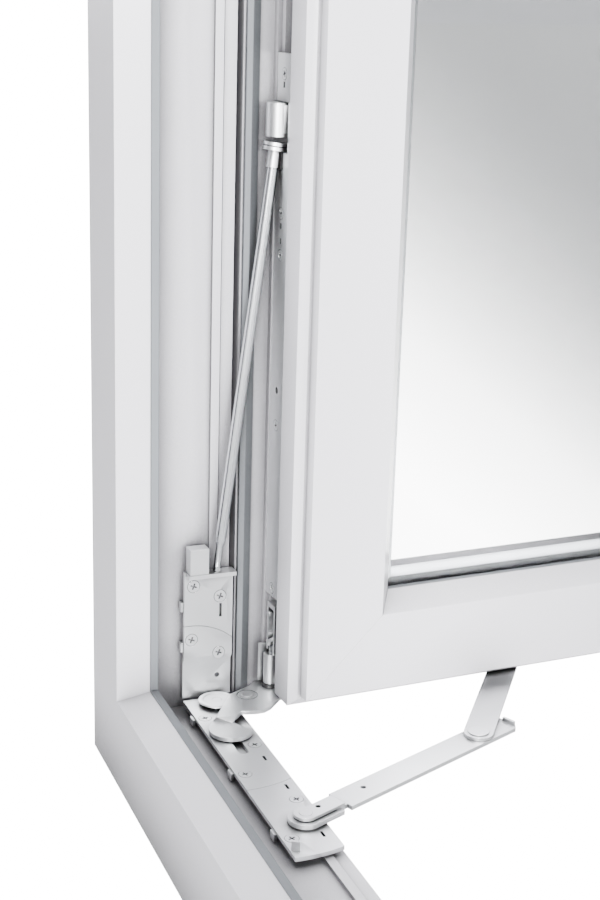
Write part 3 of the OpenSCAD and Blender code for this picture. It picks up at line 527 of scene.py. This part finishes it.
class FinishBook:
    """Every material, by the record's slot."""

    def __init__(self) -> None:
        """Builds the shared groups and the finishes."""
        effects = Effects()
        finishes = {
            Slot.PROFILE: PlasticFinish(
                "white_profile_skin", (0.85, 0.84, 0.885), (0.83, 0.82, 0.87), 0.34, coat=0.15
            ),
            Slot.HANDLE: PlasticFinish(
                "white_handle_skin", (0.80, 0.80, 0.81), (0.78, 0.78, 0.79), 0.3, coat=0.3
            ),
            Slot.PACKER: PlasticFinish(
                "packer_skin", (0.62, 0.62, 0.64), (0.56, 0.56, 0.58), 0.55
            ),
            Slot.GASKET: PlasticFinish(
                "gasket_rubber", (0.23, 0.25, 0.265), (0.17, 0.18, 0.20), 0.62, grain=2200.0,
                depth=0.00008, dust=0.25,
            ),
            Slot.BLACK: PlasticFinish(
                "black_plastic_skin", (0.025, 0.025, 0.028), (0.015, 0.015, 0.016), 0.42
            ),
            Slot.SPACER: MetalFinish(
                "spacer_bar", (0.55, 0.57, 0.59), (0.45, 0.47, 0.49), 0.42
            ),
            Slot.ZINC: MetalFinish(
                "zinc_plate", (0.60, 0.62, 0.64), (0.46, 0.48, 0.51), 0.36, streak=(1.0, 1.0, 0.05)
            ),
            Slot.SILVER: MetalFinish(
                "satin_silver", (0.86, 0.87, 0.88), (0.78, 0.79, 0.80), 0.34
            ),
            Slot.ROD: MetalFinish(
                "bright_plate", (0.88, 0.90, 0.91), (0.80, 0.83, 0.85), 0.18,
                streak=(1.0, 1.0, 0.04), streak_drift=0.06,
            ),
            # The pane's greyer top is a painted reflection.
            Slot.GLASS: GlassFinish(
                "float_glass", (1.0, 1.0, 1.0), (0.215, 0.218, 0.22), 0.29, 0.58
            ),
        }
        self.materials = {slot: finish.build(effects) for slot, finish in finishes.items()}

    def dress(self, piece: bpy.types.Object, slot: Slot) -> None:
        """Gives a piece its finish.

        Args:
            piece: the object to dress.
            slot: the record's slot.
        """
        piece.data.materials.clear()
        piece.data.materials.append(self.materials[slot])


# ---- workshop --------------------------------------------------------------------


@dataclass
class Workshop:
    """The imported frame, the finishes, and the steps that every sub-assembly uses."""

    frame: dict[str, Any]
    book: FinishBook
    body_of: dict[str, str] = field(default_factory=dict)
    slot_of: dict[str, Slot] = field(default_factory=dict)

    def __post_init__(self) -> None:
        """Reads which body and slot each node has."""
        record = self.frame["record"]
        for body, nodes in record["behaviour"]["bodies"].items():
            for node in nodes:
                self.body_of[node] = body
        for entry in record["subparts"]:
            self.slot_of[entry["node"]] = Slot(entry["material_slot"])

    def keep(self, node: str) -> None:
        """Shows a CAD node as it is, with its finish."""
        material = self.book.materials[self.slot_of[node]]
        thing = self.frame["nodes"][node]
        if not thing.material_slots:
            thing.data.materials.append(material)
        for slot in thing.material_slots:
            slot.material = material

    def soften(
        self, node: str, edge: float, segments: int = 2, sharp: float = 30.0
    ) -> bpy.types.Object:
        """Replaces a CAD node by a copy with rounded edges and smooth curved faces.

        Args:
            node: the CAD node.
            edge: the width of the rounding in metres.
            segments: the number of faces across the rounding.
            sharp: the least angle of an edge that is rounded, in degrees.

        Returns:
            The new piece.
        """
        mesh = self.frame["nodes"][node].data.copy()
        mesh.name = f"{node}_soft"
        shape = bmesh.new()
        shape.from_mesh(mesh)
        bmesh.ops.remove_doubles(shape, verts=shape.verts[:], dist=WELD)
        bmesh.ops.dissolve_limit(
            shape, angle_limit=math.radians(0.3), verts=shape.verts[:], edges=shape.edges[:]
        )
        bmesh.ops.recalc_face_normals(shape, faces=shape.faces[:])
        for face in shape.faces:
            face.smooth = True
        shape.to_mesh(mesh)
        shape.free()
        piece = bpy.data.objects.new(f"{node}_soft", mesh)
        bpy.context.scene.collection.objects.link(piece)
        mesh.set_sharp_from_angle(angle=math.radians(sharp + 6.0))
        if edge > 0.0:
            bevel = piece.modifiers.new("rounding", "BEVEL")
            bevel.width = edge
            bevel.segments = segments
            bevel.limit_method = "ANGLE"
            bevel.angle_limit = math.radians(sharp)
            bevel.harden_normals = True
            bevel.use_clamp_overlap = True
        self.finish_piece(piece, self.body_of[node], self.slot_of[node])
        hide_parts(node)
        return piece

    def finish_piece(self, piece: bpy.types.Object, body: str, slot: Slot) -> None:
        """Dresses a piece, lets it ride and reports it.

        Args:
            piece: the finished object.
            body: the CAD body that it moves with.
            slot: its material slot.
        """
        self.book.dress(piece, slot)
        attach(piece, body)
        LOG.info("%s rides on %s as %s", piece.name, body, slot.value)

    def make(
        self, name: str, body: str, slot: Slot, shape: bmesh.types.BMesh, smooth: float = 35.0
    ) -> bpy.types.Object:
        """Turns a bmesh into a finished piece.

        Args:
            name: the piece's name.
            body: the CAD body that it rides on.
            slot: its material slot.
            shape: the mesh, in metres in the model's own frame.
            smooth: edges flatter than this angle are shaded smooth.

        Returns:
            The new piece.
        """
        bmesh.ops.remove_doubles(shape, verts=shape.verts[:], dist=WELD)
        bmesh.ops.recalc_face_normals(shape, faces=shape.faces[:])
        for face in shape.faces:
            face.smooth = True
        mesh = bpy.data.meshes.new(name)
        shape.to_mesh(mesh)
        shape.free()
        mesh.set_sharp_from_angle(angle=math.radians(smooth))
        piece = bpy.data.objects.new(name, mesh)
        bpy.context.scene.collection.objects.link(piece)
        self.finish_piece(piece, body, slot)
        return piece


# ---- small shapes ----------------------------------------------------------------


def add_ring(
    shape: bmesh.types.BMesh, centre: Vector, axis: Vector, major: float, minor: float
) -> None:
    """Adds a round ring to a mesh.

    Args:
        shape: the mesh to add to.
        centre: the ring's middle.
        axis: the direction that it circles.
        major: from the axis to the middle of the wire.
        minor: the wire's radius.
    """
    side = axis.orthogonal().normalized()
    start = bmesh.ops.create_circle(shape, cap_ends=False, radius=minor, segments=8)["verts"]
    turn = Matrix((side, axis.normalized(), side.cross(axis).normalized())).transposed()
    place = Matrix.Translation(centre + side * major) @ turn.to_4x4()
    bmesh.ops.transform(shape, matrix=place, verts=start)
    edges = list({edge for vert in start for edge in vert.link_edges})
    bmesh.ops.spin(
        shape, geom=start + edges, cent=centre, axis=axis.normalized(),
        angle=math.tau, steps=36, use_duplicate=False,
    )


def ring_stack(
    low: Vector, high: Vector, major: float, minor: float, count: int
) -> bmesh.types.BMesh:
    """Makes evenly spaced rings along a line.

    Args:
        low: the first ring's middle.
        high: the last ring's middle.
        major: from the line to the middle of each wire.
        minor: the wires' radius.
        count: how many rings.

    Returns:
        The mesh of all rings.
    """
    shape = bmesh.new()
    for index in range(count):
        add_ring(shape, low.lerp(high, index / (count - 1)), high - low, major, minor)
    return shape


# ---- sub-assemblies --------------------------------------------------------------


@dataclass
class OuterFrame:
    """The four welded frame profiles, their steel, seal and fixings."""

    shop: Workshop
    corner: float = 0.8 * MM
    profiles: tuple[str, ...] = ("frame_sill", "frame_head", "frame_hinge_jamb", "frame_lock_jamb")

    def build(self) -> None:
        """Finishes the frame's pieces."""
        for node in self.profiles:
            self.shop.soften(node, self.corner, segments=3)
        self.shop.soften("frame_gasket", 0.25 * MM)
        self.shop.keep("frame_steel")
        self.shop.soften("plate_packers", 0.2 * MM)
        self.shop.soften("strikers", 0.3 * MM)


@dataclass
class HingePlates:
    """The silver plates on the frame, with their screws, post and socket."""

    shop: Workshop
    edge: float = 0.3 * MM
    plates: tuple[str, ...] = (
        "jamb_plate_upper", "jamb_plate_lower", "sill_plate", "limiter_plate", "head_plate",
    )

    def build(self) -> None:
        """Finishes the plates and what is fixed in them."""
        for node in self.plates:
            self.shop.soften(node, self.edge)
        self.shop.soften("frame_screws", 0.12 * MM)
        self.shop.soften("rod_socket", 0.5 * MM, segments=3)
        for node in ("link_pins", "limiter_post", "limiter_washer"):
            self.shop.soften(node, 0.2 * MM)


@dataclass
class CornerHinge:
    """The swinging link and arm, the slider and the sash's pivot."""

    shop: Workshop
    edge: float = 0.3 * MM

    def build(self) -> None:
        """Finishes the hinge's moving pieces."""
        for node in ("hinge_link", "link_disc", "top_link", "hinge_arm", "top_arm"):
            self.shop.soften(node, self.edge)
        for node in ("arm_rivets", "pivot_pins", "pivot_washer", "slot_slider"):
            self.shop.soften(node, 0.2 * MM)


@dataclass
class Sash:
    """The sash profiles with their glazing."""

    shop: Workshop
    corner: float = 0.9 * MM

    def build(self) -> None:
        """Finishes the sash, its beads, seals and panes."""
        for node in ("sash_bottom_rail", "sash_top_rail", "sash_hinge_stile", "sash_lock_stile"):
            self.shop.soften(node, self.corner, segments=3)
        self.shop.soften("glazing_beads", 0.8 * MM, segments=3)
        self.shop.soften("glazing_gaskets", 0.2 * MM)
        self.shop.soften("sash_gasket", 0.4 * MM)
        self.shop.soften("pane_spacer", 0.3 * MM)
        self.shop.soften("outer_pane", 0.3 * MM)
        self.shop.soften("inner_pane", 0.3 * MM)
        self.shop.keep("sash_steel")
        self.shop.soften("setting_blocks", 0.3 * MM)


@dataclass
class SashHardware:
    """The brackets, the strip and the shoe on the sash's edge."""

    shop: Workshop
    thread_low: tuple[float, float, float] = (-0.29704, 0.06212, 0.0716)
    thread_high: tuple[float, float, float] = (-0.29704, 0.06212, 0.0766)
    thread_radius: float = 2.95 * MM

    def build(self) -> None:
        """Finishes the hardware on the sash."""
        self.shop.soften("sash_strip", 0.25 * MM)
        self.shop.soften("sash_screws", 0.12 * MM)
        for node in ("lower_bracket", "upper_bracket", "top_bracket", "lift_hook"):
            self.shop.soften(node, 0.35 * MM)
        self.shop.soften("adjusting_screw", 0.05 * MM)
        ends = Vector(self.thread_low), Vector(self.thread_high)
        thread = ring_stack(*ends, self.thread_radius, 0.2 * MM, 8)
        self.shop.make("adjusting_thread", "sash", Slot.ROD, thread)
        self.shop.soften("limiter_shoe", 0.3 * MM)
        self.shop.soften("lock_strip", 0.25 * MM)


@dataclass
class LoadRod:
    """The slanting rod that carries the open sash's weight."""

    shop: Workshop

    def build(self) -> None:
        """Finishes the rod and its sleeve."""
        self.shop.soften("load_rod", 0.2 * MM)
        self.shop.soften("rod_sleeve", 0.3 * MM)


@dataclass
class OpeningLimiter:
    """The two folding bars below the sash."""

    shop: Workshop
    edge: float = 0.35 * MM

    def build(self) -> None:
        """Finishes the bars and their rivet."""
        for node in ("limiter_fork", "limiter_bar", "limiter_arm", "elbow_rivet"):
            self.shop.soften(node, self.edge)


@dataclass
class LockAndHandle:
    """The handle, its rose and gear, and the locking bar."""

    shop: Workshop

    def build(self) -> None:
        """Finishes the handle and the lock."""
        self.shop.soften("handle_lever", 0.0)
        self.shop.soften("handle_rose", 0.8 * MM, segments=3)
        self.shop.soften("lock_bar", 0.3 * MM)
        self.shop.keep("gear_case")
        self.shop.keep("handle_spindle")


# ---- studio ----------------------------------------------------------------------


@dataclass(frozen=True)
class Lamp:
    """A square area light, in metres and watts."""

    name: str
    place: tuple[float, float, float]
    target: tuple[float, float, float]
    size: float
    power: float


LAMPS = (
    Lamp("key_light", (2.4, -1.3, 0.9), (-0.3, 0.0, 0.4), 1.0, 215.0),
    Lamp("side_light", (2.6, 0.2, 0.8), (-0.3, 0.05, 0.3), 0.9, 130.0),
    Lamp("top_light", (0.5, -0.2, 2.4), (-0.2, 0.0, 0.1), 0.9, 50.0),
    Lamp("room_light", (-1.4, 2.6, 1.4), (0.0, 0.2, 0.45), 1.2, 70.0),
)


@dataclass
class Studio:
    """The camera, the lights, the floor and the sky."""

    camera_at: tuple[float, float, float] = (0.5344, -0.2582, 0.4690)
    camera_turn: tuple[float, float, float] = (73.26, -1.64, 68.65)
    lens: float = 63.56
    sensor: float = 36.0
    floor_size: float = 30.0
    floor_tone: tuple[float, float, float] = (0.5, 0.5, 0.51)
    backdrop: float = 17.0
    sky: tuple[float, float, float] = (0.97, 0.97, 1.0)
    sky_strength: float = 0.14
    panel_dark: float = 0.25
    panel_bright: float = 2.6
    panel_waves: tuple[float, float, float] = (5.0, 4.0, 3.0)
    panel_contrast: float = 0.9

    def build(self) -> None:
        """Builds the whole studio."""
        self.place_camera()
        self.lay_floor()
        self.hang_lights()
        self.set_sky()

    def place_camera(self) -> None:
        """Makes the scene's camera."""
        data = bpy.data.cameras.new("camera")
        data.lens = self.lens
        data.sensor_width = self.sensor
        data.clip_start = 0.01
        camera = bpy.data.objects.new("camera", data)
        camera.location = self.camera_at
        camera.rotation_euler = [math.radians(turn) for turn in self.camera_turn]
        bpy.context.scene.collection.objects.link(camera)
        bpy.context.scene.camera = camera

    def lay_floor(self) -> None:
        """Makes the pale floor."""
        shape = bmesh.new()
        bmesh.ops.create_grid(shape, x_segments=1, y_segments=1, size=self.floor_size / 2)
        bmesh.ops.translate(shape, verts=shape.verts[:], vec=Vector((0.0, 0.0, -0.0005)))
        mesh = bpy.data.meshes.new("floor")
        shape.to_mesh(mesh)
        shape.free()
        floor = bpy.data.objects.new("floor", mesh)
        bpy.context.scene.collection.objects.link(floor)
        material, graph, shader, _ = start_material("pale_floor")
        shader.inputs["Base Color"].default_value = (*self.floor_tone, 1.0)
        shader.inputs["Roughness"].default_value = 0.9
        shader.inputs["Emission Color"].default_value = (1.0, 1.0, 1.0, 1.0)
        graph.link(self.seen(graph, 0.0), shader.inputs["Emission Strength"])
        mesh.materials.append(material)

    def seen(self, graph: Graph, other: float) -> Any:
        """Gives the backdrop's strength, by the kind of ray that meets it.

        Args:
            graph: the node graph to add to.
            other: the strength for every ray that lights the window.

        Returns:
            A socket that is bright for a direct look and for a look through the glass.
        """
        path = graph.add("ShaderNodeLightPath")
        through = path.outputs["Is Transmission Ray"]
        direct = graph.math("MAXIMUM", path.outputs["Is Camera Ray"], through)
        return graph.span(direct, other, self.backdrop)

    def glossy(self, graph: Graph) -> Any:
        """Tells mirror-like reflections from other rays.

        Args:
            graph: the world's node graph.

        Returns:
            A socket that is 1 for a ray that a shiny surface reflects, and 0 for the rest.
        """
        return graph.add("ShaderNodeLightPath").outputs["Is Glossy Ray"]

    def panels(self, graph: Graph) -> Any:
        """Gives the strength of the bright and dark studio panels around the window.

        Args:
            graph: the world's node graph.

        Returns:
            A socket that changes with the direction of the look.
        """
        split = graph.add("ShaderNodeSeparateXYZ")
        graph.link(graph.add("ShaderNodeTexCoord").outputs["Generated"], split.inputs[0])
        across, along, rise = (
            graph.math("MULTIPLY", split.outputs[axis], waves)
            for axis, waves in zip("XYZ", self.panel_waves)
        )
        wave = graph.math("SINE", graph.math("ADD", graph.math("ADD", across, along), rise))
        swing = graph.math("MULTIPLY", wave, self.panel_contrast)
        share = graph.math("ADD", swing, 0.5, clamp=True)
        return graph.span(share, self.panel_dark, self.panel_bright)

    def hang_lights(self) -> None:
        """Makes the soft lights."""
        for lamp in LAMPS:
            self.soft_box(lamp)

    def soft_box(self, lamp: Lamp) -> None:
        """Makes one square area light.

        Args:
            lamp: where it hangs, where it faces, its size and its power.
        """
        data = bpy.data.lights.new(lamp.name, "AREA")
        data.size = lamp.size
        data.energy = lamp.power
        light = bpy.data.objects.new(lamp.name, data)
        light.location = lamp.place
        aim = Vector(lamp.target) - Vector(lamp.place)
        light.rotation_euler = aim.to_track_quat("-Z", "Y").to_euler()
        bpy.context.scene.collection.objects.link(light)

    def set_sky(self) -> None:
        """Lights the scene evenly from all round."""
        world = bpy.data.worlds.new("soft_sky")
        world.use_nodes = True
        graph = Graph(world.node_tree)
        sky = graph.add("ShaderNodeBackground")
        sky.inputs["Color"].default_value = (*self.sky, 1.0)
        ambient = graph.math("MULTIPLY", self.panels(graph), self.glossy(graph))
        ambient = graph.math("ADD", ambient, self.seen(graph, self.sky_strength))
        graph.link(ambient, sky.inputs["Strength"])
        output = graph.add("ShaderNodeOutputWorld")
        graph.link(sky.outputs[0], output.inputs["Surface"])
        bpy.context.scene.world = world


def main() -> None:
    """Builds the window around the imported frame."""
    logging.basicConfig(level=logging.INFO, format="%(message)s")
    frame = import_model()
    Studio().build()
    shop = Workshop(frame, FinishBook())
    parts: tuple[Callable[[Workshop], Any], ...] = (
        OuterFrame, HingePlates, CornerHinge, Sash, SashHardware, LoadRod, OpeningLimiter,
        LockAndHandle,
    )
    for part in parts:
        built = part(shop)
        built.build()
        LOG.info("%s finished", type(built).__name__)


if __name__ == "__main__":
    main()
